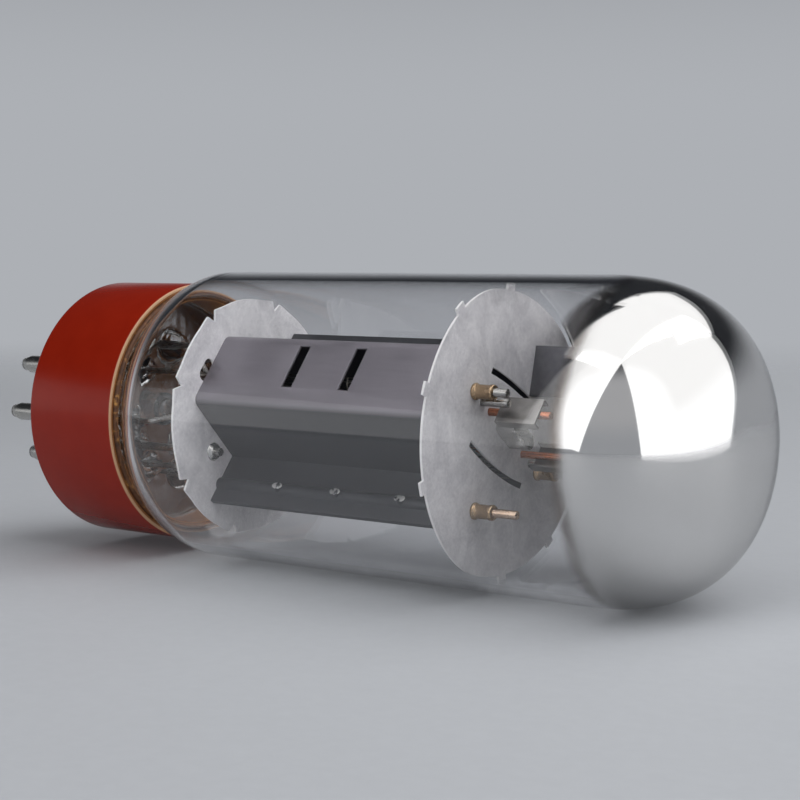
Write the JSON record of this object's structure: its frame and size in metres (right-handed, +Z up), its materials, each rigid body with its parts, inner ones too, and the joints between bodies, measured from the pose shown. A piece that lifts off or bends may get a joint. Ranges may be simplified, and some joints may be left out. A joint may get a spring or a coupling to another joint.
{
  "type": "vacuum tube",
  "caption": "Power pentode with a domed glass bulb, mirrored getter top, flat finned anode between mica discs, and a red-brown octal plug base, lying on its side.",
  "frame": {"origin": "on the tube's axis, in the plane of the base on which it seats in its socket", "axes": "+X along the tube's axis from the base to the dome, +Z up, with the tube lying on its side; the locating key is near +Z"},
  "size_m": [0.1075, 0.037, 0.037],
  "materials": {
    "base": "glossy red-brown moulding",
    "cement": "baked tan cement",
    "pin": "tin-plated hollow brass",
    "solder": "bright solder",
    "stem_glass": "clear pressed glass",
    "bulb_glass": "clear blown glass",
    "lead_wire": "nickel-plated wire",
    "mica": "frosted white mica",
    "anode": "satin grey carbonised steel",
    "nickel": "drawn nickel",
    "eyelet": "pressed brass",
    "copper": "drawn copper",
    "grid_wire": "fine drawn wire",
    "heater_coating": "white alumina coating",
    "wing": "blackened strip",
    "getter_sheet": "dark annealed steel strip",
    "getter_mirror": "evaporated metal film"
  },
  "bodies": {
    "root": {"base_shell": "base", "base_cement": "cement", "pin_1": "pin", "pin_2": "pin", "pin_3": "pin", "pin_4": "pin", "pin_5": "pin", "pin_6": "pin", "pin_7": "pin", "pin_8": "pin", "pin_solder": "solder", "exhaust_tube": "stem_glass", "glass_stem": "stem_glass", "glass_bulb": "bulb_glass", "suppressor_lead": "lead_wire", "heater_lead_a": "lead_wire", "anode_lead": "lead_wire", "screen_lead": "lead_wire", "control_lead": "lead_wire", "heater_lead_b": "lead_wire", "cathode_lead": "lead_wire", "support_post_1": "lead_wire", "support_post_2": "lead_wire", "lower_mica": "mica", "upper_mica": "mica", "post_eyelets": "nickel", "anode_front": "anode", "anode_rear": "anode", "anode_rod_front": "nickel", "anode_rod_rear": "nickel", "anode_eyelets": "eyelet", "cathode_sleeve": "nickel", "heater": "heater_coating", "control_rod_front": "copper", "control_rod_rear": "copper", "control_winding": "grid_wire", "screen_rod_front": "nickel", "screen_rod_rear": "nickel", "screen_winding": "grid_wire", "suppressor_rod_front": "nickel", "suppressor_rod_rear": "nickel", "suppressor_winding": "grid_wire", "suppressor_eyelets": "eyelet", "control_wing_front": "wing", "control_wing_rear": "wing", "getter_plate": "getter_sheet", "getter_ring": "nickel", "getter_flash": "getter_mirror"}
  },
  "joints": []
}
